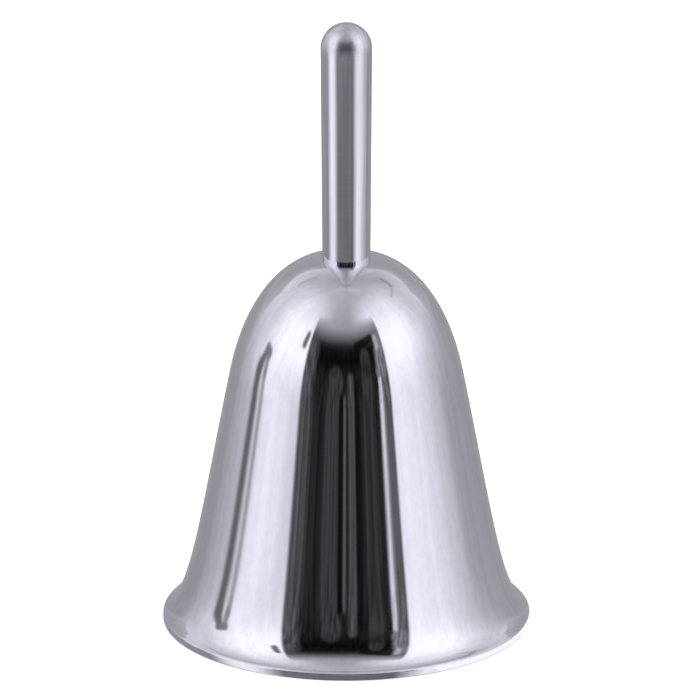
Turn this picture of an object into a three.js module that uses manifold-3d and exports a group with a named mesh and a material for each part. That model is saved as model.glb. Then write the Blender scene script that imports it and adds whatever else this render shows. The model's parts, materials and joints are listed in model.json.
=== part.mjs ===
// A sanctus bell rung by hand: a flared steel shell with a straight rod handle screwed to its crown,
// and a ball clapper that hangs inside on an eye stud and a jump ring. Millimetres, +Z up.
// The origin is the centre of the mouth, on the plane that the lip rests on.
import * as THREE from 'three';
import { mergeVertices } from 'three/addons/utils/BufferGeometryUtils.js';
import Module from 'manifold-3d';

const wasm = await Module();
wasm.setup();

// ---- Driving dimensions ----------------------------------------------------------------------
const MOUTH_RADIUS = 37.75;
const CROWN_HEIGHT = 77.3;
const OVERALL_HEIGHT = 126.6;

const WALL = 1.3; // shell thickness at the crown and waist
const LIP_THICKNESS = 2.0; // the wall thickens towards the lip
const LIP_EDGE = 1.5; // height of the upright edge of the lip
const LIP_ROUND = 0.3; // rounding of its upper corner
const LIP_FOOT_ROUND = 0.15; // and of its lower one

const LAND_RADIUS = 6; // flat of the crown that carries the handle
const WAIST = { r: 23.9, z: 52.6 }; // where the dome runs into the straight waist
const WAIST_SLOPE = THREE.MathUtils.degToRad(11.3); // from the upright
const LIP_SLOPE = THREE.MathUtils.degToRad(68);
const DOME_PULL = { crown: 1.3, waist: 23 }; // reach of the dome's curve along its end tangents
const FLARE_PULL = { waist: 33.5, lip: 5.8 }; // the same for the waist and flare

const HANDLE_FOOT_RADIUS = 4.9;
const HANDLE_TOP_RADIUS = 5.2; // the rod widens a little towards its domed top

const STUD_RADIUS = 2.5; // M5
const THREAD_CLEARANCE = 0.05;
const STUD_REACH = 12; // of the stud into the handle
const BORE_REACH = 14;
const DRILL_POINT = 1.5; // of the handle's bore
const CROWN_HOLE_RADIUS = 2.7;

const CROWN_WASHER = { inner: 2.65, outer: 5.0, thick: 1.0 };
const SPRING_WASHER = { inner: 2.6, outer: 4.6, thick: 1.2, split: 0.7, lean: 0.35 };
const CROWN_NUT = { flats: 8.0, thick: 4.0, chamfer: 0.5 };

const EYE_WIRE = 1.1; // radius of the stud's eye in section
const EYE_RADIUS = 3.4; // of its centre line
const EYE_BELOW_NUT = 6.2; // from the nut's lower face to the centre of the eye
const STUD_TIP_CHAMFER = 0.6;
const NECK_RADIUS = 1.3; // where the shank narrows into the eye
const NECK_SHOULDER = 0.4; // chamfer of the shank above the eye

const RING_WIRE = 0.8;
const RING_RADIUS = 4.4;
const RING_SPLIT = 0.3;
const HANG_GAP = 0.1; // free play where one eye hangs in the next

const ROD_RADIUS = 1.5; // M3 wire, bent to an eye at its top
const ROD_EYE_RADIUS = 3.7;
const ROD_JOG_RADIUS = 2.5; // bend that brings the eye back over the shank
const ROD_EYE_END = THREE.MathUtils.degToRad(-59); // where the bent wire stops, short of the shank
const ROD_REACH = 4; // of the thread past the ball's centre
const BALL_RADIUS = 6.5;
const BALL_HEIGHT = 10; // its centre, above the mouth
const BALL_FLAT_DROP = 0.2; // spot face under the jam nut
const BALL_BORE_REACH = 5.2; // past the ball's centre
const BALL_DRILL_POINT = 0.75;
const JAM_NUT = { flats: 5.5, thick: 1.8, chamfer: 0.35 };

// ---- Fineness of the faceted shapes ----------------------------------------------------------
const SHELL_SEGMENTS = 80;
const ROD_SEGMENTS = 32;
const SMALL_SEGMENTS = 28;
const WIRE_SIDES = 10;
const ROD_STEPS = 54;
const CUT_PAST = 1; // how far a drill runs past the faces that it cuts
const LIP_TOP = 0.988; // where along the flare the lip's rounding takes over

// ---- Heights that follow from them -----------------------------------------------------------
const crownInside = CROWN_HEIGHT - WALL;
const washerBottom = crownInside - CROWN_WASHER.thick;
const springBottom = washerBottom - SPRING_WASHER.thick;
const nutBottom = springBottom - CROWN_NUT.thick;
const eyeCentre = nutBottom - EYE_BELOW_NUT;
const ringAxis = eyeCentre - EYE_RADIUS; // the jump ring turns about the lowest wire of the eye
const ringCentre = ringAxis + EYE_WIRE + HANG_GAP + RING_WIRE - RING_RADIUS;
const clapperAxis = ringCentre - RING_RADIUS; // the rod's eye turns about the lowest wire of the ring
const rodEyeCentre = clapperAxis + RING_WIRE + HANG_GAP + ROD_RADIUS - ROD_EYE_RADIUS;
const ballTop = BALL_HEIGHT + BALL_RADIUS - BALL_FLAT_DROP;

// ---- Materials -------------------------------------------------------------------------------
const steel = (color, roughness) => new THREE.MeshStandardMaterial({ color, roughness, metalness: 1 });
const polished = steel(0xcfced6, 0.08);
const plated = steel(0xb9bcc2, 0.3);
const spring = steel(0x77797f, 0.4);
const bright = steel(0xc4c5ca, 0.2);

// ---- Shared helpers --------------------------------------------------------------------------
const point = (r, z) => new THREE.Vector2(r, z);

// Revolves a closed outline of (radius, height) points about +Z.
function turned(outline, segments) {
  const geometry = new THREE.LatheGeometry(outline, segments);
  return geometry.rotateX(Math.PI / 2);
}

// A ring of rectangular section, from its lower to its upper face.
function collar(inner, outer, bottom, top, segments = SMALL_SEGMENTS) {
  const outline = [point(inner, bottom), point(outer, bottom), point(outer, top), point(inner, top)];
  return turned([...outline, outline[0]], segments);
}

function cylinder(radius, bottom, top, segments = SMALL_SEGMENTS) {
  return turned([point(0, bottom), point(radius, bottom), point(radius, top), point(0, top)], segments);
}

// A closed geometry as a solid that can be joined and cut.
function solidOf(geometry) {
  const bare = geometry.clone();
  bare.deleteAttribute('normal');
  bare.deleteAttribute('uv');
  const merged = mergeVertices(bare, 1e-4);
  return new wasm.Manifold(new wasm.Mesh({
    numProp: 3,
    vertProperties: merged.attributes.position.array,
    triVerts: new Uint32Array(merged.index.array),
  }));
}

function geometryOf(solid) {
  const { vertProperties, triVerts } = solid.getMesh();
  const geometry = new THREE.BufferGeometry();
  geometry.setAttribute('position', new THREE.BufferAttribute(vertProperties, 3));
  geometry.setIndex(new THREE.BufferAttribute(triVerts, 1));
  geometry.computeVertexNormals();
  return geometry;
}

// Points of a quarter round of the given centre and radius, from one angle to another.
function quarterRound(r, z, radius, from, to, steps) {
  return Array.from({ length: steps + 1 }, (_, i) => {
    const angle = THREE.MathUtils.degToRad(from + ((to - from) * i) / steps);
    return point(r + radius * Math.cos(angle), z + radius * Math.sin(angle));
  });
}

// ---- Bell shell ------------------------------------------------------------------------------
const along = (slope) => point(Math.sin(slope), -Math.cos(slope)); // down and outwards

// The outside of the dome, from the crown's land to the waist.
function domeCurve() {
  const start = point(LAND_RADIUS, CROWN_HEIGHT);
  const end = point(WAIST.r, WAIST.z);
  return new THREE.CubicBezierCurve(
    start,
    start.clone().add(point(DOME_PULL.crown, 0)),
    end.clone().addScaledVector(along(WAIST_SLOPE), -DOME_PULL.waist),
    end,
  );
}

// The outside of the waist and flare, from the dome to the top edge of the lip.
function flareCurve() {
  const start = point(WAIST.r, WAIST.z);
  const end = point(MOUTH_RADIUS, LIP_EDGE);
  return new THREE.CubicBezierCurve(
    start,
    start.clone().addScaledVector(along(WAIST_SLOPE), FLARE_PULL.waist),
    end.clone().addScaledVector(along(LIP_SLOPE), -FLARE_PULL.lip),
    end,
  );
}

// Points inside a curve at a thickness that may grow along it.
function inside(curve, steps, thicknessAt) {
  return Array.from({ length: steps + 1 }, (_, i) => {
    const tangent = curve.getTangent(i / steps);
    const normal = point(-tangent.y, tangent.x);
    return curve.getPoint(i / steps).addScaledVector(normal, -thicknessAt(i / steps));
  });
}

// Keeps the points above the plane z = 0 and ends the outline where it crosses that plane.
function cutAtMouth(points) {
  const firstBelow = points.findIndex((p) => p.y <= 0);
  if (firstBelow < 0) return points;
  const above = points[firstBelow - 1];
  const below = points[firstBelow];
  return [...points.slice(0, firstBelow), above.clone().lerp(below, above.y / (above.y - below.y))];
}

function bellShell() {
  const dome = domeCurve();
  const flare = flareCurve();
  const outer = [...dome.getPoints(12), ...flare.getPoints(16).slice(1, -1)];
  const lipTop = flare.getPoint(LIP_TOP);
  const lip = [
    lipTop,
    ...quarterRound(MOUTH_RADIUS - LIP_ROUND, LIP_EDGE - LIP_ROUND, LIP_ROUND, 45, 0, 2),
    ...quarterRound(MOUTH_RADIUS - LIP_FOOT_ROUND, LIP_FOOT_ROUND, LIP_FOOT_ROUND, 0, -90, 2),
  ];
  const domeInside = inside(dome, 9, () => WALL);
  const flareInside = inside(flare, 14, (u) => WALL + (LIP_THICKNESS - WALL) * u ** 2);
  const inner = [...domeInside, ...cutAtMouth(flareInside).slice(1)].reverse();
  const hole = [point(CROWN_HOLE_RADIUS, crownInside), point(CROWN_HOLE_RADIUS, CROWN_HEIGHT)];
  const outline = [...outer, ...lip, ...inner, ...hole];
  return turned([...outline, outline[0]].reverse(), SHELL_SEGMENTS);
}

// ---- Handle ----------------------------------------------------------------------------------
function handle() {
  const bore = STUD_RADIUS + THREAD_CLEARANCE;
  const boreTop = CROWN_HEIGHT + BORE_REACH;
  const domeCentre = OVERALL_HEIGHT - HANDLE_TOP_RADIUS;
  const outline = [
    point(0, boreTop + DRILL_POINT),
    point(bore, boreTop),
    point(bore, CROWN_HEIGHT),
    point(HANDLE_FOOT_RADIUS, CROWN_HEIGHT),
    ...quarterRound(0, domeCentre, HANDLE_TOP_RADIUS, 0, 90, 12),
  ];
  outline[outline.length - 1].x = 0;
  return turned(outline, ROD_SEGMENTS);
}

// ---- Fasteners -------------------------------------------------------------------------------
// A chamfered hexagon nut, as a plain bore through it.
function hexNut(size, bore, bottom) {
  const top = bottom + size.thick;
  const corner = size.flats / Math.sqrt(3);
  const prism = turned([point(0, bottom), point(corner, bottom), point(corner, top), point(0, top)], 6);
  const faced = turned([
    point(0, bottom),
    point(corner - size.chamfer, bottom),
    point(corner + size.chamfer, bottom + size.chamfer),
    point(corner + size.chamfer, top - size.chamfer),
    point(corner - size.chamfer, top),
    point(0, top),
  ], SMALL_SEGMENTS);
  const drill = cylinder(bore, bottom - CUT_PAST, top + CUT_PAST);
  return geometryOf(solidOf(prism).intersect(solidOf(faced)).subtract(solidOf(drill)));
}

// A split washer, closed up flat, with its leaning cut.
function springWasher() {
  const { inner, outer, split, lean } = SPRING_WASHER;
  const ring = collar(inner, outer, springBottom, washerBottom);
  const cut = new THREE.BoxGeometry(outer, split, SPRING_WASHER.thick * 3);
  cut.rotateX(lean).translate(outer / 2 + inner / 2, 0, springBottom + SPRING_WASHER.thick / 2);
  return geometryOf(solidOf(ring).subtract(solidOf(cut)));
}

// The stud that clamps handle and shell together, with the eye that the clapper hangs from.
function eyeStud() {
  const tip = CROWN_HEIGHT + STUD_REACH;
  const neck = eyeCentre + EYE_RADIUS;
  const shank = turned([
    point(0, neck - EYE_WIRE / 2),
    point(NECK_RADIUS, neck - EYE_WIRE / 2),
    point(STUD_RADIUS - NECK_SHOULDER, neck + EYE_WIRE),
    point(STUD_RADIUS, neck + EYE_WIRE + NECK_SHOULDER),
    point(STUD_RADIUS, tip - STUD_TIP_CHAMFER),
    point(STUD_RADIUS - STUD_TIP_CHAMFER, tip),
    point(0, tip),
  ], SMALL_SEGMENTS);
  const eye = new THREE.TorusGeometry(EYE_RADIUS, EYE_WIRE, WIRE_SIDES, SMALL_SEGMENTS);
  eye.rotateX(Math.PI / 2).translate(0, 0, eyeCentre);
  return geometryOf(solidOf(shank).add(solidOf(eye)));
}

// The jump ring between the stud's eye and the rod's, split at one side where it was closed.
function hangerRing() {
  const ring = new THREE.TorusGeometry(RING_RADIUS, RING_WIRE, WIRE_SIDES, SMALL_SEGMENTS);
  ring.rotateY(Math.PI / 2).translate(0, 0, ringCentre);
  const cut = new THREE.BoxGeometry(RING_WIRE * 4, RING_WIRE * 4, RING_SPLIT);
  cut.translate(0, RING_RADIUS, ringCentre);
  return geometryOf(solidOf(ring).subtract(solidOf(cut)));
}

// ---- Clapper ---------------------------------------------------------------------------------
// The centre line of the rod: up the shank, through a jog to one side, then round the eye.
class RodLine extends THREE.Curve {
  constructor(bottom) {
    super();
    this.bottom = bottom;
    const centres = ROD_EYE_RADIUS + ROD_JOG_RADIUS;
    this.jogStart = rodEyeCentre - Math.sqrt(centres ** 2 - ROD_JOG_RADIUS ** 2);
    this.jogAngle = Math.acos(ROD_JOG_RADIUS / centres);
    this.eyeAngle = this.jogAngle + Math.PI - ROD_EYE_END;
    this.shank = this.jogStart - bottom;
    this.jog = this.jogAngle * ROD_JOG_RADIUS;
    this.eye = this.eyeAngle * ROD_EYE_RADIUS;
  }

  getPoint(t) {
    const s = t * (this.shank + this.jog + this.eye);
    if (s < this.shank) return new THREE.Vector3(0, 0, this.bottom + s);
    if (s < this.shank + this.jog) {
      const angle = (s - this.shank) / ROD_JOG_RADIUS;
      const x = ROD_JOG_RADIUS * (Math.cos(angle) - 1);
      return new THREE.Vector3(x, 0, this.jogStart + ROD_JOG_RADIUS * Math.sin(angle));
    }
    const angle = this.jogAngle + Math.PI - (s - this.shank - this.jog) / ROD_EYE_RADIUS;
    const z = rodEyeCentre + ROD_EYE_RADIUS * Math.sin(angle);
    return new THREE.Vector3(ROD_EYE_RADIUS * Math.cos(angle), 0, z);
  }
}

function circleShape(radius, sides) {
  const corners = Array.from({ length: sides }, (_, i) => {
    const angle = (2 * Math.PI * i) / sides;
    return point(radius * Math.cos(angle), radius * Math.sin(angle));
  });
  return new THREE.Shape(corners);
}

function clapperRod() {
  const line = new RodLine(BALL_HEIGHT - ROD_REACH);
  return new THREE.ExtrudeGeometry(circleShape(ROD_RADIUS, WIRE_SIDES), {
    extrudePath: line,
    steps: ROD_STEPS,
    bevelEnabled: false,
  });
}

function clapperBall() {
  const bore = ROD_RADIUS + THREAD_CLEARANCE;
  const flatAngle = THREE.MathUtils.radToDeg(Math.asin((ballTop - BALL_HEIGHT) / BALL_RADIUS));
  const boreEnd = BALL_HEIGHT - BALL_BORE_REACH;
  const outline = [
    ...quarterRound(0, BALL_HEIGHT, BALL_RADIUS, -90, flatAngle, 14),
    point(bore, ballTop),
    point(bore, boreEnd + BALL_DRILL_POINT),
    point(0, boreEnd),
  ];
  outline[0].x = 0;
  return turned(outline, SMALL_SEGMENTS);
}

// ---- Assembly --------------------------------------------------------------------------------
function piece(name, geometry, material) {
  const mesh = new THREE.Mesh(geometry, material);
  mesh.name = name;
  return mesh;
}

const bell = new THREE.Group();
bell.add(
  piece('bell_shell', bellShell(), polished),
  piece('handle', handle(), polished),
  piece('crown_washer', collar(CROWN_WASHER.inner, CROWN_WASHER.outer, washerBottom, crownInside), plated),
  piece('spring_washer', springWasher(), spring),
  piece('crown_nut', hexNut(CROWN_NUT, STUD_RADIUS + THREAD_CLEARANCE, nutBottom), plated),
  piece('eye_stud', eyeStud(), plated),
);

const link = new THREE.Group();
link.add(piece('hanger_ring', hangerRing(), bright));

const clapper = new THREE.Group();
clapper.add(
  piece('clapper_rod', clapperRod(), bright),
  piece('clapper_jam_nut', hexNut(JAM_NUT, ROD_RADIUS + THREAD_CLEARANCE, ballTop), plated),
  piece('clapper_ball', clapperBall(), polished),
);

const sanctusBell = new THREE.Group();
sanctusBell.add(bell, link, clapper);

export default sanctusBell;
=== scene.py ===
"""The looks of a sanctus bell: mirror-polished shell and handle, and the clapper's train inside."""
import json
import math

import bpy
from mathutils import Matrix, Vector


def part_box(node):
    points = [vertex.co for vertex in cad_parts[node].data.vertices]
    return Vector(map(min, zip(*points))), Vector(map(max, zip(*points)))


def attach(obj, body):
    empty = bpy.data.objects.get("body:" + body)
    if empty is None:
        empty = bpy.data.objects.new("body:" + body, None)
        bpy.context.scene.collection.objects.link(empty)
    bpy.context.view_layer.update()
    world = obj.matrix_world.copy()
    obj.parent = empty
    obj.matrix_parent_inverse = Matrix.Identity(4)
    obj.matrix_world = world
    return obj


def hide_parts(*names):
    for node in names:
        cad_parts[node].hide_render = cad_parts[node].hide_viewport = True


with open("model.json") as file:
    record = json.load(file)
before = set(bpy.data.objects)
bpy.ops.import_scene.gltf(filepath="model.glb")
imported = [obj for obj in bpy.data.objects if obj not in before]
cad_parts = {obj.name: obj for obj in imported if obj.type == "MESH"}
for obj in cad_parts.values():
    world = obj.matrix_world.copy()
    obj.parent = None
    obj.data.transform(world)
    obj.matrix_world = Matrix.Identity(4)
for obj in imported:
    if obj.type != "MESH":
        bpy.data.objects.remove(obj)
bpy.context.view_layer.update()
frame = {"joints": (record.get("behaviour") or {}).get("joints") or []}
scene = bpy.context.scene
MM = 0.001  # one millimetre in metres


# ---- Sizes, from the frame -------------------------------------------------------------------
def low(node):
    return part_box(node)[0]


def high(node):
    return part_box(node)[1]


def joint(name):
    return next(j for j in frame["joints"] if j["name"] == name)


mouth_radius = high("bell_shell").x
crown_height = high("bell_shell").z
overall_height = high("handle").z
inside_crown = high("crown_washer").z
unit = crown_height / 77.3  # one millimetre of the bell as drawn

wall = crown_height - inside_crown
lip_wall = 2.0 * unit
lip_edge = 1.5 * unit
lip_round = 0.3 * unit
lip_foot_round = 0.15 * unit

land_radius = 6.0 * unit  # flat of the crown that carries the handle
crown_hole = 2.7 * unit
waist = (23.9 * unit, 52.6 * unit)  # where the dome runs into the flare
WAIST_SLOPE = math.radians(11.3)  # from the upright
LIP_SLOPE = math.radians(68)
dome_pull = (1.3 * unit, 23 * unit)  # reach of the curve along its tangents at the crown and the waist
flare_pull = (33.5 * unit, 5.8 * unit)  # the same at the waist and the lip

handle_top_radius = high("handle").x
handle_foot_radius = 4.9 * unit
handle_bore_reach = 14 * unit
handle_drill_point = 1.5 * unit

stud_radius = 2.5 * unit
rod_radius = 1.5 * unit
thread_clearance = 0.05 * unit
stud_pitch = 0.8 * unit  # M5
rod_pitch = 0.5 * unit  # M3
THREAD_DEPTH = 0.6134  # of a 60 degree thread, and the flats of its crest and root, as shares of the pitch
CREST = 0.125
ROOT = 0.25
ring_axis = joint("ring_sway")["pos_m"][2]
clapper_axis = joint("clapper_swing")["pos_m"][2]


# ---- Curves ----------------------------------------------------------------------------------
def bezier(points, count):
    """Points along a cubic curve, with their unit tangents."""
    made = []
    for i in range(count + 1):
        t = i / count
        s = 1 - t
        weights = (s**3, 3 * s * s * t, 3 * s * t * t, t**3)
        slopes = (-3 * s * s, 3 * s * s - 6 * s * t, 6 * s * t - 3 * t * t, 3 * t * t)
        at = [sum(w * p[k] for w, p in zip(weights, points)) for k in (0, 1)]
        going = [sum(w * p[k] for w, p in zip(slopes, points)) for k in (0, 1)]
        length = math.hypot(*going)
        made.append((at, (going[0] / length, going[1] / length)))
    return made


def arc(r, z, radius, start, end, count):
    """Points (r, z) round a centre, from one angle to another in degrees."""
    made = []
    for i in range(count + 1):
        a = math.radians(start + (end - start) * i / count)
        made.append((r + radius * math.cos(a), z + radius * math.sin(a)))
    return made


def dome(count):
    """The outside of the crown, from its flat down to the waist."""
    start = (land_radius, crown_height)
    down = (math.sin(WAIST_SLOPE), -math.cos(WAIST_SLOPE))
    pulled_in = (waist[0] - dome_pull[1] * down[0], waist[1] - dome_pull[1] * down[1])
    return bezier([start, (start[0] + dome_pull[0], start[1]), pulled_in, waist], count)


def flare(count):
    """The outside from the waist down to the lip's edge."""
    down = (math.sin(WAIST_SLOPE), -math.cos(WAIST_SLOPE))
    out = (math.sin(LIP_SLOPE), -math.cos(LIP_SLOPE))
    end = (mouth_radius, lip_edge)
    first = (waist[0] + flare_pull[0] * down[0], waist[1] + flare_pull[0] * down[1])
    second = (end[0] - flare_pull[1] * out[0], end[1] - flare_pull[1] * out[1])
    return bezier([waist, first, second, end], count)


def inside(stations, thickness):
    """The stations of a curve moved inwards by a thickness that depends on how far along it they are."""
    last = len(stations) - 1
    made = []
    for i, ((r, z), (tr, tz)) in enumerate(stations):
        t = thickness(i / last)
        made.append((r + t * tz, z - t * tr))
    return made


# ---- Meshes ----------------------------------------------------------------------------------
def new_object(name, verts, faces, materials, face_materials=None, sharp=40):
    """An object of these faces, smooth apart from edges sharper than sharp degrees."""
    mesh = bpy.data.meshes.new(name)
    mesh.from_pydata(verts, [], faces)
    mesh.validate()
    for m in materials:
        mesh.materials.append(m)
    mesh.polygons.foreach_set("use_smooth", [True] * len(mesh.polygons))
    if face_materials:
        mesh.polygons.foreach_set("material_index", face_materials)
    mesh.set_sharp_from_angle(angle=math.radians(sharp))
    mesh.update()
    obj = bpy.data.objects.new(name, mesh)
    scene.collection.objects.link(obj)
    return obj


def lathe(name, outline, materials, segments=160, slots=None, sharp=40):
    """Turns a closed outline of (r, z) about the axis. Points at r = 0 become one vertex. The outline runs
    so that the solid lies on its left. slots gives each outline span its material."""
    verts, rings = [], []
    for r, z in outline:
        if r < 1e-9:
            rings.append([len(verts)] * segments)
            verts.append((0, 0, z))
            continue
        rings.append(list(range(len(verts), len(verts) + segments)))
        for k in range(segments):
            a = 2 * math.pi * k / segments
            verts.append((r * math.cos(a), r * math.sin(a), z))
    faces, used = [], []
    count = len(rings)
    for i in range(count):
        a, b = rings[i], rings[(i + 1) % count]
        if a[0] == a[1] and b[0] == b[1]:
            continue
        for k in range(segments):
            n = (k + 1) % segments
            corners = [a[k], a[n], b[n], b[k]]
            face = [c for j, c in enumerate(corners) if c != corners[j - 1]]
            faces.append(face)
            used.append(slots[i] if slots else 0)
    return new_object(name, verts, faces, materials, used, sharp)


def tube(name, rings, material, sharp=40, closed=False):
    """A skin through rings of equally many points, each running anticlockwise about the way the rings go.
    Flat ends close it, unless the last ring joins the first."""
    size = len(rings[0])
    verts = [p for ring in rings for p in ring]
    faces = []
    spans = len(rings) if closed else len(rings) - 1
    for i in range(spans):
        a, b = i * size, (i + 1) % len(rings) * size
        for k in range(size):
            n = (k + 1) % size
            faces.append([a + k, a + n, b + n, b + k])
    if not closed:
        faces.append(list(range(size))[::-1])
        faces.append([len(verts) - size + k for k in range(size)])
    return new_object(name, verts, faces, [material], None, sharp)


def ring_about(centre, along, side, radius, count):
    """Points round a centre in the plane across along. radius gives the distance at each angle."""
    across = along.cross(side)
    made = []
    for k in range(count):
        a = 2 * math.pi * k / count
        made.append(centre + radius(a) * (side * math.cos(a) + across * math.sin(a)))
    return made


def thread_depth(travel, angle, pitch):
    """How deep a 60 degree thread is cut at this travel along it and angle round it."""
    share = (travel / pitch - angle / (2 * math.pi)) % 1
    from_root = abs(2 * share - 1)
    return THREAD_DEPTH * pitch * min(1, max(0, (1 - CREST - from_root) / (1 - CREST - ROOT)))


def applied(obj):
    """Turns what an object's modifiers make into its own mesh."""
    graph = bpy.context.evaluated_depsgraph_get()
    mesh = bpy.data.meshes.new_from_object(obj.evaluated_get(graph))
    obj.modifiers.clear()
    obj.data = mesh
    return obj


def join(obj, other):
    """Unites two closed solids and drops the second."""
    modifier = obj.modifiers.new("join", "BOOLEAN")
    modifier.operation, modifier.solver, modifier.object = "UNION", "EXACT", other
    applied(obj)
    bpy.data.objects.remove(other)
    return obj


def bevelled(points, size, steps=4):
    """Rounds each corner of a closed outline (r, z) that doesn't lie on the axis."""
    made = []
    count = len(points)
    for i, here in enumerate(points):
        if here[0] < 1e-9:
            made.append(here)
            continue
        p, n = Vector(points[i - 1]), Vector(points[(i + 1) % count])
        c = Vector(here)
        into, out = (p - c), (n - c)
        cut = min(size, into.length * 0.45, out.length * 0.45)
        a, b = c + into.normalized() * cut, c + out.normalized() * cut
        for k in range(steps + 1):
            t = k / steps
            made.append(tuple(a * (1 - t) ** 2 + c * 2 * t * (1 - t) + b * t**2))
    return made


# ---- Materials -------------------------------------------------------------------------------
class Nodes:
    """A short way to write a node tree."""

    def __init__(self, tree):
        self.tree = tree

    def add(self, kind, inputs=None, **settings):
        node = self.tree.nodes.new(kind)
        for key, value in settings.items():
            setattr(node, key, value)
        for key, value in (inputs or {}).items():
            self.plug(value, node.inputs[key])
        return node

    def plug(self, value, socket):
        if isinstance(value, bpy.types.NodeSocket):
            self.tree.links.new(value, socket)
        else:
            socket.default_value = value

    def math(self, operation, a, b=None, clamp=False):
        values = {0: a} if b is None else {0: a, 1: b}
        return self.add("ShaderNodeMath", values, operation=operation, use_clamp=clamp).outputs[0]

    def between(self, value, start, end, to_min=0.0, to_max=1.0):
        """Eases from to_min to to_max as value goes from start to end."""
        inputs = {"Value": value, "From Min": start, "From Max": end, "To Min": to_min, "To Max": to_max}
        return self.add("ShaderNodeMapRange", inputs, interpolation_type="SMOOTHSTEP").outputs[0]

    def vector(self, operation, inputs, output=0):
        return self.add("ShaderNodeVectorMath", inputs, operation=operation).outputs[output]

    def near(self, point, start, end, core, reach):
        """1 within core of the line from start to end, easing to 0 at reach."""
        along = Vector((*end, 0)) - Vector((*start, 0))
        offset = self.vector("SUBTRACT", {0: point, 1: (*start, 0)})
        travel = self.vector("DOT_PRODUCT", {0: offset, 1: along}, "Value")
        share = self.math("DIVIDE", travel, along.length_squared, clamp=True)
        foot = self.vector("SCALE", {0: along, "Scale": share})
        gap = self.vector("DISTANCE", {0: offset, 1: foot}, "Value")
        return self.between(gap, reach, core)

    def straight(self, value, start, end):
        """Goes evenly from 0 to 1 as value goes from start to end."""
        inputs = {"Value": value, "From Min": start, "From Max": end}
        return self.add("ShaderNodeMapRange", inputs).outputs[0]

    def mix(self, share, a, b):
        inputs = {0: share, 2: a, 3: b}
        return self.add("ShaderNodeMix", inputs, data_type="FLOAT").outputs[0]

    def ramp(self, value, stops):
        """Goes evenly from one stop of (position, grey) to the next."""
        node = self.add("ShaderNodeValToRGB", {"Fac": value})
        ramp = node.color_ramp
        ramp.interpolation = "LINEAR"
        while len(ramp.elements) < len(stops):
            ramp.elements.new(1.0)
        for element, (position, grey) in zip(ramp.elements, stops):
            element.position = position
            element.color = (grey, grey, grey, 1)
        return self.add("ShaderNodeRGBToBW", {0: node.outputs[0]}).outputs[0]


def steel(name, color, roughness, metallic=1.0):
    """A new metal material: its nodes helper and its Principled node."""
    material = bpy.data.materials.new(name)
    material.use_nodes = True
    tree = material.node_tree
    shader = tree.nodes["Principled BSDF"]
    shader.inputs["Base Color"].default_value = (*color, 1)
    shader.inputs["Metallic"].default_value = metallic
    shader.inputs["Roughness"].default_value = roughness
    return material, Nodes(tree), shader


def place(n, stretch):
    """The object's own coordinates, stretched."""
    coordinates = n.add("ShaderNodeTexCoord").outputs["Object"]
    return n.add("ShaderNodeMapping", {"Vector": coordinates, "Scale": stretch}).outputs[0]


def noise(n, stretch, scale, detail=4.0, rough=0.55):
    """Noise through the object, drawn out along each axis by one over its stretch."""
    inputs = {"Vector": place(n, stretch), "Scale": scale, "Detail": detail, "Roughness": rough}
    return n.add("ShaderNodeTexNoise", inputs).outputs["Fac"]


def tint(n, shader, color, dark, share):
    """Varies the base colour between two tones by share."""
    inputs = {"Factor": share, "A": (*dark, 1), "B": (*color, 1)}
    mixed = n.add("ShaderNodeMix", inputs, data_type="RGBA")
    n.plug(mixed.outputs["Result"], shader.inputs["Base Color"])


def bump(n, shader, height, distance, strength=1.0):
    """Small relief: distance is how far a height of 1 stands up."""
    made = n.add("ShaderNodeBump", {"Height": height, "Distance": distance, "Strength": strength})
    n.plug(made.outputs[0], shader.inputs["Normal"])


def turned_height(n, scale, detail=2.0):
    """Rings round the axis, as turning and buffing leave them: noise that changes only with height."""
    return noise(n, (0.02, 0.02, 1.0), scale, detail)


def polished_steel():
    """Buffed to a mirror: finger smudges, hairlines, and a faint ripple from spinning the shell."""
    color, dark = (0.815, 0.801, 0.856), (0.735, 0.722, 0.773)
    material, n, shader = steel("polished_steel", color, 0.05)
    smudge = noise(n, (1, 1, 0.6), scale=45, detail=5, rough=0.6)
    hairline = turned_height(n, scale=2600, detail=3)
    mottle = noise(n, (1, 1, 0.35), scale=900, detail=3, rough=0.7)
    clean = n.mix(0.6, n.between(smudge, 0.35, 0.6), n.between(mottle, 0.3, 0.7))
    tint(n, shader, color, dark, clean)
    shine = n.between(smudge, 0.3, 0.75, 0.035, 0.06)
    fine = n.math("MULTIPLY", hairline, 0.02)
    n.plug(n.math("ADD", shine, fine), shader.inputs["Roughness"])
    ripple = turned_height(n, scale=260, detail=1)
    wobble = noise(n, (1, 1, 0.5), scale=60, detail=2)
    height = n.math("ADD", n.math("MULTIPLY", ripple, 0.6), n.math("MULTIPLY", wobble, 0.8))
    height = n.math("ADD", height, n.math("MULTIPLY", hairline, 0.02))
    bump(n, shader, height, 0.02 * MM, 0.6)
    return material


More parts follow.
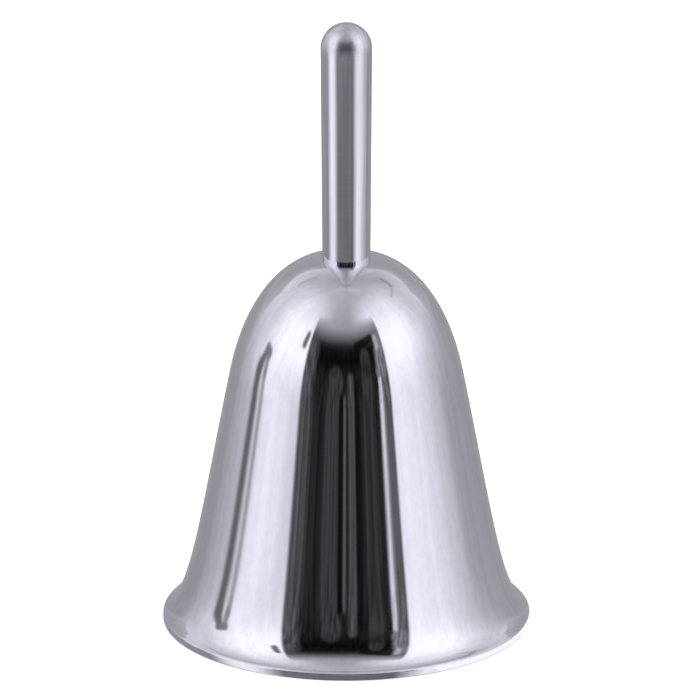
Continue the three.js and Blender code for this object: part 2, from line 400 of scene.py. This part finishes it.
def turned_handle():
    """The rod's finish: drawn lines along it, under a fine turned grain that smears what it mirrors."""
    color, dark = (0.80, 0.786, 0.84), (0.70, 0.687, 0.74)
    material, n, shader = steel("turned_handle", color, 0.1)
    drawn = noise(n, (1, 1, 0.03), scale=1500, detail=3)
    grain = turned_height(n, scale=3000, detail=2)
    tint(n, shader, color, dark, n.between(drawn, 0.35, 0.6))
    along = n.add("ShaderNodeSeparateXYZ", {"Vector": place(n, (1, 1, 1))}).outputs["Z"]
    dome_start = overall_height - handle_top_radius
    rubbed = n.between(along, dome_start - 1.2 * unit, dome_start + 0.6 * unit, 0, 0.24)
    n.plug(n.math("ADD", n.between(grain, 0.3, 0.7, 0.08, 0.13), rubbed), shader.inputs["Roughness"])
    tangent = n.add("ShaderNodeTangent", direction_type="RADIAL", axis="Z").outputs[0]
    n.plug(tangent, shader.inputs["Tangent"])
    shader.inputs["Anisotropic"].default_value = 0.6
    shader.inputs["Anisotropic Rotation"].default_value = 0.25
    height = n.math("ADD", n.math("MULTIPLY", drawn, 0.5), n.math("MULTIPLY", grain, 0.2))
    bump(n, shader, height, 0.004 * MM, 0.5)
    return material


def ball_steel():
    """Polished, with turning marks and the small dents of many strikes."""
    color, dark = (0.78, 0.768, 0.80), (0.62, 0.61, 0.64)
    material, n, shader = steel("ball_steel", color, 0.1)
    smudge = noise(n, (1, 1, 1), scale=110, detail=5, rough=0.6)
    rings = turned_height(n, scale=2200, detail=2)
    tint(n, shader, color, dark, n.between(smudge, 0.35, 0.6))
    n.plug(n.between(smudge, 0.3, 0.75, 0.07, 0.17), shader.inputs["Roughness"])
    cells = {"Vector": place(n, (1, 1, 1)), "Scale": 420.0}
    dents = n.add("ShaderNodeTexVoronoi", cells, feature="F1").outputs["Distance"]
    height = n.math("MULTIPLY", rings, 0.05)
    height = n.math("ADD", height, n.between(dents, 0.0, 0.35))
    bump(n, shader, height, 0.015 * MM, 0.5)
    return material


def satin_inside():
    """Turned and left satin, with a few stains."""
    color, dark = (0.70, 0.69, 0.72), (0.58, 0.57, 0.60)
    material, n, shader = steel("satin_inside", color, 0.3)
    rings = turned_height(n, scale=900, detail=3)
    stain = noise(n, (1, 1, 1), scale=30, detail=5)
    tint(n, shader, color, dark, n.between(stain, 0.3, 0.65))
    n.plug(n.between(rings, 0.3, 0.7, 0.22, 0.38), shader.inputs["Roughness"])
    bump(n, shader, rings, 0.03 * MM, 0.5)
    return material


def plated_steel():
    """Bright plating, clouded in patches, over a fine grain."""
    color, dark = (0.66, 0.67, 0.69), (0.5, 0.5, 0.5)
    material, n, shader = steel("plated_steel", color, 0.25)
    grain = noise(n, (1, 1, 1), scale=900, detail=4)
    patch = noise(n, (1, 1, 1), scale=220, detail=5, rough=0.6)
    tint(n, shader, color, dark, n.between(patch, 0.35, 0.6))
    n.plug(n.between(patch, 0.3, 0.7, 0.2, 0.36), shader.inputs["Roughness"])
    bump(n, shader, grain, 0.01 * MM, 0.5)
    return material


def spring_steel():
    """Hardened and dull, with dark scale left in patches."""
    color, dark = (0.26, 0.26, 0.28), (0.15, 0.15, 0.16)
    material, n, shader = steel("spring_steel", color, 0.4)
    patch = noise(n, (1, 1, 1), scale=300, detail=5, rough=0.65)
    tint(n, shader, color, dark, n.between(patch, 0.35, 0.65))
    n.plug(n.between(patch, 0.3, 0.7, 0.32, 0.5), shader.inputs["Roughness"])
    bump(n, shader, patch, 0.02 * MM, 0.5)
    return material


def wire_steel():
    """Drawn wire, with lines along it."""
    color, dark = (0.7, 0.7, 0.72), (0.6, 0.6, 0.62)
    material, n, shader = steel("wire_steel", color, 0.2)
    drawn = noise(n, (1, 1, 0.06), scale=2400, detail=3)
    patch = noise(n, (1, 1, 1), scale=160, detail=4)
    tint(n, shader, color, dark, n.between(patch, 0.35, 0.65))
    n.plug(n.between(drawn, 0.3, 0.7, 0.15, 0.27), shader.inputs["Roughness"])
    bump(n, shader, drawn, 0.01 * MM, 0.5)
    return material


POLISHED = polished_steel()
HANDLE = turned_handle()
BALL = ball_steel()
INSIDE = satin_inside()
PLATED = plated_steel()
SPRING = spring_steel()
WIRE = wire_steel()


# ---- Pieces ----------------------------------------------------------------------------------
def stand_in(obj, node, body):
    """Fixes a piece to its body and hides the CAD node that it stands for."""
    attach(obj, body)
    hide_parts(node)
    return obj


def bell_shell():
    """Turned: polished down the outside and round the lip, satin up the inside, bored through the crown."""
    outer = [p for p, _ in dome(72)] + [p for p, _ in flare(120)[1:-2]]
    corner = mouth_radius - lip_round
    lip = arc(corner, lip_edge - lip_round, lip_round, 60, 0, 6)
    lip += arc(mouth_radius - lip_foot_round, lip_foot_round, lip_foot_round, 0, -90, 5)
    inner = inside(dome(40), lambda u: wall)
    flared = inside(flare(70), lambda u: wall + (lip_wall - wall) * u**2)
    inner += [p for p in flared[1:] if p[1] > 0]
    above, below = next((p, q) for p, q in zip(flared, flared[1:]) if q[1] <= 0)
    share = above[1] / (above[1] - below[1])
    inner.append((above[0] + (below[0] - above[0]) * share, 0.0))
    inner.reverse()
    bore = [(crown_hole, inside_crown), (crown_hole, crown_height)]
    outline = outer + lip + inner + bore
    polished, satin = 0, 1
    slots = [polished] * (len(outer) + len(lip)) + [satin] * (len(inner) + 1) + [polished]
    outline.reverse()
    slots = slots[-2::-1] + [slots[-1]]
    shell = lathe("bell_shell_polished", outline, [POLISHED, INSIDE], segments=288, slots=slots)
    return stand_in(shell, "bell_shell", "bell")


def handle():
    """A rod that widens a little to its half-round top, bored from below for the stud."""
    centre = overall_height - handle_top_radius
    steps = 24
    rod = [
        (handle_foot_radius + (handle_top_radius - handle_foot_radius) * k / steps,
         crown_height + (centre - crown_height) * k / steps)
        for k in range(steps)
    ]
    top = arc(0, centre, handle_top_radius, 0, 90, 40)
    top[-1] = (0, overall_height)
    bore = stud_radius + thread_clearance
    bore_top = crown_height + handle_bore_reach
    hollow = [(0, bore_top + handle_drill_point), (bore, bore_top), (bore, crown_height)]
    made = lathe("handle_turned", hollow + rod + top, [HANDLE])
    return stand_in(made, "handle", "bell")


def crown_washer():
    """A flat washer with the rounded edges of a stamping."""
    inner, outer, rounding = 2.65 * unit, high("crown_washer").y, 0.15 * unit
    bottom = low("crown_washer").z
    section = [(inner, bottom), (outer, bottom), (outer, inside_crown), (inner, inside_crown)]
    made = lathe("crown_washer_stamped", bevelled(section, rounding), [PLATED], sharp=50)
    return stand_in(made, "crown_washer", "bell")


def spring_washer():
    """A coil of square wire closed up flat, with its leaning split."""
    inner, outer = 2.6 * unit, 4.6 * unit
    bottom, top = low("spring_washer").z, high("spring_washer").z
    split, lean, rounding = 0.7 * unit, 0.35, 0.14 * unit
    middle = (bottom + top) / 2
    section = bevelled([(inner, bottom), (outer, bottom), (outer, top), (inner, top)], rounding, 3)
    steps = 144
    rings = []
    for i in range(steps + 1):
        ring = []
        for r, z in section:
            shift = -(z - middle) * math.tan(lean)
            half = split / 2 / math.cos(lean)
            start, end = math.asin((shift + half) / r), 2 * math.pi + math.asin((shift - half) / r)
            a = start + (end - start) * i / steps
            ring.append(Vector((r * math.cos(a), r * math.sin(a), z)))
        rings.append(ring[::-1])
    made = tube("spring_washer_split", rings, SPRING)
    return stand_in(made, "spring_washer", "bell")


def nut(node, flats, bore, body):
    """A hexagon nut with its corners chamfered at 30 degrees and its bore countersunk."""
    bottom, top = low(node).z, high(node).z
    segments = 288
    worn_corner = 0.988 * flats / math.sqrt(3)
    face = 0.475 * flats
    sink = 0.04 * flats
    rings = []
    for i in range(segments):
        a = 2 * math.pi * i / segments
        off_flat = (a + math.pi / 6) % (math.pi / 3) - math.pi / 6
        reach = min(flats / 2 / math.cos(off_flat), worn_corner)
        drop = (reach - face) * math.tan(math.radians(30))
        section = [
            (bore + sink, bottom), (face, bottom), (reach, bottom + drop), (reach, top - drop),
            (face, top), (bore + sink, top), (bore, top - sink), (bore, bottom + sink),
        ]
        rings.append([Vector((r * math.cos(a), r * math.sin(a), z)) for r, z in section][::-1])
    made = tube(node + "_hexagon", rings, PLATED, 12, closed=True)
    return stand_in(made, node, body)


def eye_stud():
    """A threaded shank, forged out at its foot into an eye."""
    wire, eye_radius = 1.1 * unit, 3.4 * unit
    eye_centre = Vector((0, 0, ring_axis + eye_radius))
    up, side = Vector((0, 0, 1)), Vector((1, 0, 0))
    neck = eye_centre.z + eye_radius
    tip = high("eye_stud").z
    around_eye, wire_sides, shank_sides = 160, 32, 48

    rings = []
    for i in range(around_eye):
        a = 2 * math.pi * i / around_eye
        outward = Vector((math.cos(a), 0, math.sin(a)))
        along = Vector((-math.sin(a), 0, math.cos(a)))
        here = eye_centre + outward * eye_radius
        rings.append(ring_about(here, along, outward, lambda b: wire, wire_sides))
    eye = tube("eye_stud_threaded", rings, PLATED, closed=True)
    foot = [
        (neck - 0.6 * wire, 1.25 * unit), (neck, 1.35 * unit), (neck + 0.7 * wire, 1.75 * unit),
        (neck + 1.15 * wire, 2.2 * unit), (neck + 1.5 * wire, 2.25 * unit),
    ]
    rings = [ring_about(up * z, up, side, lambda b, r=r: r, shank_sides) for z, r in foot]
    join(eye, tube("neck", rings, PLATED))
    remesh = eye.modifiers.new("forged in one", "REMESH")
    remesh.mode, remesh.voxel_size = "VOXEL", 0.13 * unit
    smooth = eye.modifiers.new("hammered smooth", "SMOOTH")
    smooth.factor, smooth.iterations = 0.5, 12
    applied(eye)

    start = neck + 1.3 * wire
    step = stud_pitch / 12
    count = int((tip - start) / step)
    chamfer = 0.6 * unit
    core = stud_radius - THREAD_DEPTH * stud_pitch
    rings = [ring_about(up * start, up, side, lambda b: core, shank_sides)]
    for i in range(1, count + 1):
        z = start + (tip - start) * i / count
        shy = stud_radius - max(0, chamfer - (tip - z))
        run_in = min(1, (z - start) / stud_pitch)
        rings.append(ring_about(
            up * z, up, side,
            lambda b, z=z, shy=shy: min(shy, stud_radius - thread_depth(z, b, stud_pitch) * run_in),
            shank_sides))
    join(eye, tube("shank", rings, PLATED))
    eye.data.polygons.foreach_set("use_smooth", [True] * len(eye.data.polygons))
    eye.data.set_sharp_from_angle(angle=math.radians(35))
    return stand_in(eye, "eye_stud", "bell")


def hanger_ring():
    """A jump ring of round wire, cut square and closed up."""
    wire, radius = 0.8 * unit, 4.4 * unit
    centre = Vector((0, 0, clapper_axis + radius))
    half_split = 0.15 * unit
    gap = math.asin(half_split / radius)
    edge = 0.1 * unit
    side = Vector((1, 0, 0))
    stations = [(gap, wire - edge), (gap + edge / 3 / radius, wire - edge / 3), (gap + edge / radius, wire)]
    steps = 180
    first, last = stations[-1][0], 2 * math.pi - stations[-1][0]
    middle = [(first + (last - first) * i / steps, wire) for i in range(1, steps)]
    stations += middle + [(2 * math.pi - a, r) for a, r in stations[::-1]]
    rings = []
    for a, size in stations:
        outward = Vector((0, math.cos(a), math.sin(a)))
        along = Vector((0, -math.sin(a), math.cos(a)))
        rings.append(ring_about(centre + outward * radius, along, side, lambda b, size=size: size, 28))
    made = tube("hanger_ring_wire", rings, WIRE)
    return stand_in(made, "hanger_ring", "link")


def clapper_rod():
    """Round wire: threaded at its foot, jogged to one side and bent round to an eye at its top."""
    eye_radius, jog_radius = 3.7 * unit, 2.5 * unit
    centres = eye_radius + jog_radius
    eye_centre = high("clapper_rod").z - rod_radius - eye_radius
    bottom = low("clapper_rod").z
    jog_start = eye_centre - math.sqrt(centres**2 - jog_radius**2)
    jog_angle = math.acos(jog_radius / centres)
    eye_end = math.radians(-59)
    shank, jog = jog_start - bottom, jog_angle * jog_radius
    whole = shank + jog + (jog_angle + math.pi - eye_end) * eye_radius
    threaded, chamfer = 15 * unit, 0.25 * unit

    def at(s):
        """The centre of the wire and the way it goes."""
        if s < shank:
            return Vector((0, 0, bottom + s)), Vector((0, 0, 1))
        if s < shank + jog:
            a = (s - shank) / jog_radius
            here = Vector((jog_radius * (math.cos(a) - 1), 0, jog_start + jog_radius * math.sin(a)))
            return here, Vector((-math.sin(a), 0, math.cos(a)))
        a = jog_angle + math.pi - (s - shank - jog) / eye_radius
        here = Vector((eye_radius * math.cos(a), 0, eye_centre + eye_radius * math.sin(a)))
        return here, Vector((math.sin(a), 0, -math.cos(a)))

    step = rod_pitch / 10
    stations = [i * step for i in range(int(threaded / step) + 1)]
    curved = 150
    stations += [stations[-1] + (shank - stations[-1]) * i / 12 for i in range(1, 13)]
    stations += [shank + (whole - chamfer - shank) * i / curved for i in range(1, curved + 1)]
    stations += [whole - chamfer * (1 - math.sin(math.radians(a))) for a in (30, 60, 90)]
    side = Vector((0, 1, 0))
    rings = []
    for s in stations:
        here, along = at(s)
        end = max(0, 1 - s / chamfer, 1 - (whole - s) / chamfer)
        limit = rod_radius - chamfer * (1 - math.sqrt(max(0, 1 - end**2)))
        fade = min(1, max(0, (threaded - s) / rod_pitch))
        rings.append(ring_about(
            here, along, side,
            lambda b, s=s, limit=limit, fade=fade:
                min(limit, rod_radius - thread_depth(s, b, rod_pitch) * fade), 36))
    made = tube("clapper_rod_bent", rings, WIRE)
    return stand_in(made, "clapper_rod", "clapper")


def clapper_ball():
    """A turned ball with a spot face at its top for the jam nut."""
    radius = high("clapper_ball").x
    centre = low("clapper_ball").z + radius
    top = low("clapper_jam_nut").z
    bore = rod_radius + thread_clearance
    edge = 0.12 * unit
    flat_angle = math.degrees(math.asin((top - centre) / radius))
    flat_radius = radius * math.cos(math.radians(flat_angle))
    outside = arc(0, centre, radius, -90, flat_angle - 1.5, 88)
    outside[0] = (0, centre - radius)
    bore_end, drill_point = centre - 5.2 * unit, 0.75 * unit
    outline = outside + [
        (flat_radius - edge / 2, top), (bore + edge, top), (bore, top - edge),
        (bore, bore_end + drill_point), (0, bore_end),
    ]
    made = lathe("clapper_ball_turned", outline, [BALL])
    return stand_in(made, "clapper_ball", "clapper")


crown_nut_flats = 8.0 * unit
jam_nut_flats = 5.5 * unit

bell_shell()
handle()
crown_washer()
spring_washer()
nut("crown_nut", crown_nut_flats, stud_radius + thread_clearance, "bell")
eye_stud()
hanger_ring()
clapper_rod()
nut("clapper_jam_nut", jam_nut_flats, rod_radius + thread_clearance, "clapper")
clapper_ball()


# ---- Camera ----------------------------------------------------------------------------------
def camera():
    """Looks slightly down at the bell from far off, as a product photograph does."""
    elevation = math.radians(18.235)
    distance = 1350 * unit
    aim = Vector((0.73 * unit, 0, 57.58 * unit))
    back = Vector((0, -math.cos(elevation), math.sin(elevation)))
    data = bpy.data.cameras.new("camera")
    data.sensor_width = 36
    data.lens = 340.9
    data.clip_start, data.clip_end = 0.05, 50
    made = bpy.data.objects.new("camera", data)
    made.location = aim + back * distance
    made.rotation_mode = "QUATERNION"
    made.rotation_quaternion = (-back).to_track_quat("-Z", "Y")
    scene.collection.objects.link(made)
    scene.camera = made


# ---- Studio ----------------------------------------------------------------------------------
REFLECTANCE = 0.8  # of the polished steel
TENT_TINT = (1.0, 0.997, 1.06)

# Soft edges in degrees, each from where it starts to where it is full.
OPENING_SIDES = [(-47.5, -44.5), (46, 43.5)]
OPENING_FOOT = [(-14, -3)]
STREAKS_FADE = (20, 42)

# The back of the tent is a plainer grey. Its edge stands at an azimuth, to either side, that grows with the
# elevation, as (elevation, azimuth).
BACK_EDGE = [(26, 130), (42, 159), (47, 189)]
BACK_EDGE_BLUR = (-1.5, 2.5)
BACK_FOOT = (4, 13)
BACK_GREYS = (170, 153)  # at its edge, and this far past it in degrees
BACK_REACH = 22


def seen_as(grey):
    """The light that the polished steel shows as this display grey, from 0 to 255."""
    share = grey / 255
    linear = share / 12.92 if share < 0.04 else ((share + 0.055) / 1.055) ** 2.4
    return linear / REFLECTANCE


def stops(pairs):
    """Azimuths in degrees and greys, as ramp stops."""
    return [((azimuth + 180) / 360, seen_as(grey)) for azimuth, grey in pairs]


# The tent's cloth, as rows of (azimuth, grey) at a few elevations. Azimuth 0 is towards the camera and grows
# to the right, in degrees. The cloth is bright at both sides and greyer behind, below and overhead.
SIDES = [(-180, 205), (-110, 205), (-80, 255), (75, 255), (110, 200), (180, 200)]
TENT = {
    -18: [
        (-180, 150), (-95, 135), (-75, 235), (-60, 235), (-40, 110), (30, 100), (50, 235), (65, 230),
        (110, 140), (180, 150),
    ],
    5: [
        (-180, 150), (-140, 150), (-125, 185), (-80, 240), (-50, 215), (46, 235), (70, 230), (110, 175),
        (145, 150), (180, 150),
    ],
    20: SIDES,
    34: SIDES,
}
EAVES_AT = 53
EAVES = [
    (-180, 190), (-130, 180), (-75, 230), (-55, 225), (-20, 165), (5, 160), (40, 235), (75, 235),
    (130, 165), (180, 190),
]
ROOF_AT = 73
ROOF = [(-180, 150), (-75, 185), (0, 170), (75, 185), (180, 150)]

# The room that shows through the opening, as (elevation, grey).
ROOM = [(4, 35), (15, 30), (25, 10), (31, 20), (34, 40), (39, 100), (46, 155)]

# What stands or hangs there, and about the tent, as straight bars from (azimuth, elevation) to (azimuth,
# elevation): the half-width that is fully theirs, the half-width where they have faded out, their grey and
# how solid they are.
IN_ROOM = [
    ((-43, -20), (-43, 28), 4, 13, 80, 1.0),  # left jamb
    ((-18, -20), (-11, 15), 5, 9, 55, 1.0),  # left curtain
    ((-5, -20), (-5, 8), 0.5, 3, 10, 1.0),  # a gap, and the light along its edge
    ((-1.5, -20), (-1.5, 8), 0.3, 2, 80, 0.9),
    ((6, -20), (4, 16), 1.5, 4, 75, 1.0),  # a light fold, and the gap beside it
    ((10.5, -20), (10, 14), 1, 3, 15, 1.0),
    ((22, -20), (21, 26), 4, 7, 50, 1.0),  # right curtain
    ((12, 33.5), (31, 37), 1.5, 4, 15, 0.9),  # dark rail under the lintel
    ((41, -20), (41, 20), 4, 8, 95, 1.0),  # right jamb, with its bright corner
    ((41, 20), (42, 36), 3, 7, 115, 1.0),
    ((33, -20), (35, 14), 0.5, 3, 195, 1.0),
    ((35, 18), (36, 28), 1, 5, 120, 1.0),
    ((37, 31), (37, 36), 1, 4, 165, 1.0),
]
IN_TENT = [
    ((-99, -9), (-100, 3), 1, 7, 90, 0.95),  # a dark stand before the left wall, with two legs
    ((-100, 3), (-96, 11), 1, 5, 100, 0.95),
    ((-89, -9), (-91, 5), 0.5, 4, 150, 0.9),
    ((-91, 5), (-92, 11), 0.5, 4, 130, 0.9),
    ((-97, 12), (-91, 12), 1, 4, 120, 0.9),
    ((-52, 29), (-51, 35), 1, 4.5, 90, 0.95),  # a hook beside the opening
    ((102, 48), (125, 47), 0.5, 2, 160, 0.6),  # seams overhead
    ((122, 47), (136, 53), 0.5, 2.5, 140, 0.9),
    ((-139, 55), (-126, 43), 0.5, 2.5, 160, 0.8),
]


class Sky(Nodes):
    """The world's nodes, which know the azimuth and elevation that is looked at, in degrees."""

    def __init__(self, tree):
        super().__init__(tree)
        direction = self.add("ShaderNodeTexCoord").outputs["Generated"]
        x, y, z = self.add("ShaderNodeSeparateXYZ", {0: direction}).outputs
        self.azimuth = self.math("DEGREES", self.math("ARCTAN2", x, self.math("MULTIPLY", y, -1.0)))
        self.elevation = self.math("DEGREES", self.math("ARCSINE", z))
        self.turn = self.math("DIVIDE", self.math("ADD", self.azimuth, 180.0), 360.0)
        self.here = self.add("ShaderNodeCombineXYZ", {0: self.azimuth, 1: self.elevation}).outputs[0]

    def row(self, pairs):
        """The light all round, from (azimuth, grey)."""
        return self.ramp(self.turn, stops(pairs))

    def by_elevation(self, stations):
        """Goes evenly from one value to the next as the elevation rises."""
        (below, value), *others = stations
        for at, following in others:
            value = self.mix(self.straight(self.elevation, below, at), value, following)
            below = at
        return value

    def bars(self, light, bars):
        """The light with these bars before it."""
        for start, end, core, reach, grey, solid in bars:
            cover = self.math("MULTIPLY", self.near(self.here, start, end, core, reach), solid)
            light = self.mix(cover, light, seen_as(grey))
        return light

    def cloth(self, stretch, detail):
        """Noise over the tent, stretched by azimuth and elevation."""
        place_on_it = self.add("ShaderNodeMapping", {"Vector": self.here, "Scale": stretch}).outputs[0]
        inputs = {"Vector": place_on_it, "Scale": 1.0, "Detail": detail}
        return self.add("ShaderNodeTexNoise", inputs).outputs["Fac"]

    def within(self, azimuths, elevations):
        """1 inside these soft edges and 0 outside."""
        cover = 1.0
        for value, edges in ((self.azimuth, azimuths), (self.elevation, elevations)):
            for start, full in edges:
                cover = self.math("MULTIPLY", self.between(value, start, full), cover)
        return cover


def tent_walls(sky):
    """The walls, with soft folds, and the grey back with its crisp edge."""
    rows = {**TENT, EAVES_AT: EAVES}
    light = sky.by_elevation([(at, sky.row(pairs)) for at, pairs in rows.items()])
    folds = sky.cloth((0.16, 0.05, 1), 4.0)
    light = sky.math("MULTIPLY", light, sky.between(folds, 0.3, 0.7, 0.95, 1.04))
    edge = sky.by_elevation(BACK_EDGE)
    past_edge = sky.math("SUBTRACT", sky.math("ABSOLUTE", sky.azimuth), edge)
    near_grey, far_grey = (seen_as(grey) for grey in BACK_GREYS)
    back = sky.mix(sky.between(past_edge, 0, BACK_REACH), near_grey, far_grey)
    cover = sky.math(
        "MULTIPLY", sky.between(past_edge, *BACK_EDGE_BLUR), sky.between(sky.elevation, *BACK_FOOT))
    return sky.mix(cover, light, back)


def tent_opening(sky):
    """The dark room that shows through the opening, with upright streaks low down."""
    room = [(at, seen_as(grey)) for at, grey in ROOM]
    light = sky.by_elevation([*room, (EAVES_AT, sky.row(EAVES))])
    light = sky.bars(light, IN_ROOM)
    streaks = sky.between(sky.cloth((0.5, 0.12, 1), 3.0), 0.3, 0.7, 0.5, 1.5)
    streaks = sky.mix(sky.between(sky.elevation, *STREAKS_FADE), streaks, 1.0)
    return sky.math("MULTIPLY", light, streaks)


def light_tent():
    """A white tent round the bell, open towards the camera: bright at both sides, grey behind and above."""
    world = bpy.data.worlds.new("light_tent")
    scene.world = world
    world.use_nodes = True
    sky = Sky(world.node_tree)

    light = sky.mix(sky.within(OPENING_SIDES, OPENING_FOOT), tent_walls(sky), tent_opening(sky))
    light = sky.mix(sky.straight(sky.elevation, EAVES_AT, ROOF_AT), light, sky.row(ROOF))
    light = sky.bars(light, IN_TENT)

    red, green, blue = (sky.math("MULTIPLY", light, share) for share in TENT_TINT)
    color = sky.add("ShaderNodeCombineColor", {0: red, 1: green, 2: blue})
    sky.plug(color.outputs[0], world.node_tree.nodes["Background"].inputs["Color"])


def glowing(name, color):
    """A material that only shines."""
    material = bpy.data.materials.new(name)
    material.use_nodes = True
    material.node_tree.nodes.clear()
    n = Nodes(material.node_tree)
    glow = n.add("ShaderNodeEmission", {"Color": (*color, 1), "Strength": 1.0})
    out = n.add("ShaderNodeOutputMaterial")
    n.plug(glow.outputs[0], out.inputs["Surface"])
    return material


def hidden_from(obj, *rays):
    for kind in rays:
        setattr(obj, "visible_" + kind, False)


def floor_and_backdrop():
    """A pale floor, and a white backdrop round it that only the camera sees."""
    bpy.ops.mesh.primitive_plane_add(size=8)
    floor = bpy.context.object
    floor.name = "floor"
    material, _, shader = steel("floor", (0.9, 0.9, 0.91), 0.9, metallic=0.0)
    shader.inputs["Specular IOR Level"].default_value = 0.0
    floor.data.materials.append(material)
    hidden_from(floor, "glossy")
    bpy.ops.mesh.primitive_uv_sphere_add(radius=6, segments=48, ring_count=24)
    backdrop = bpy.context.object
    backdrop.name = "backdrop"
    backdrop.data.materials.append(glowing("backdrop", (1, 1, 1)))
    hidden_from(backdrop, "diffuse", "glossy", "transmission", "volume_scatter", "shadow")


def white_card():
    """A curved card on the table at the right of the bell, which only the edge of the lip mirrors."""
    width, lift, steps = 5 * unit, 0.02 * unit, 48
    start, end = math.radians(30), math.radians(99)
    verts = []
    for k in range(steps + 1):
        a = start + (end - start) * k / steps
        for r in (mouth_radius, mouth_radius + width):
            verts.append((r * math.sin(a), -r * math.cos(a), lift))
    faces = [(2 * k, 2 * k + 1, 2 * k + 3, 2 * k + 2) for k in range(steps)]
    white = glowing("white_card", [seen_as(250) * share for share in TENT_TINT])
    card = new_object("white_card", verts, faces, [white])
    hidden_from(card, "camera", "diffuse", "transmission", "volume_scatter", "shadow")


def top_light():
    """A large soft light overhead that fills the floor's shadow. The steel doesn't mirror it."""
    data = bpy.data.lights.new("top_light", "AREA")
    data.shape = "DISK"
    data.size = 3.0
    data.energy = 60
    made = bpy.data.objects.new("top_light", data)
    made.location = (0, 0, 2.2)
    hidden_from(made, "glossy")
    scene.collection.objects.link(made)


scene.view_settings.view_transform = "Standard"
scene.view_settings.look = "None"
camera()
light_tent()
floor_and_backdrop()
white_card()
top_light()
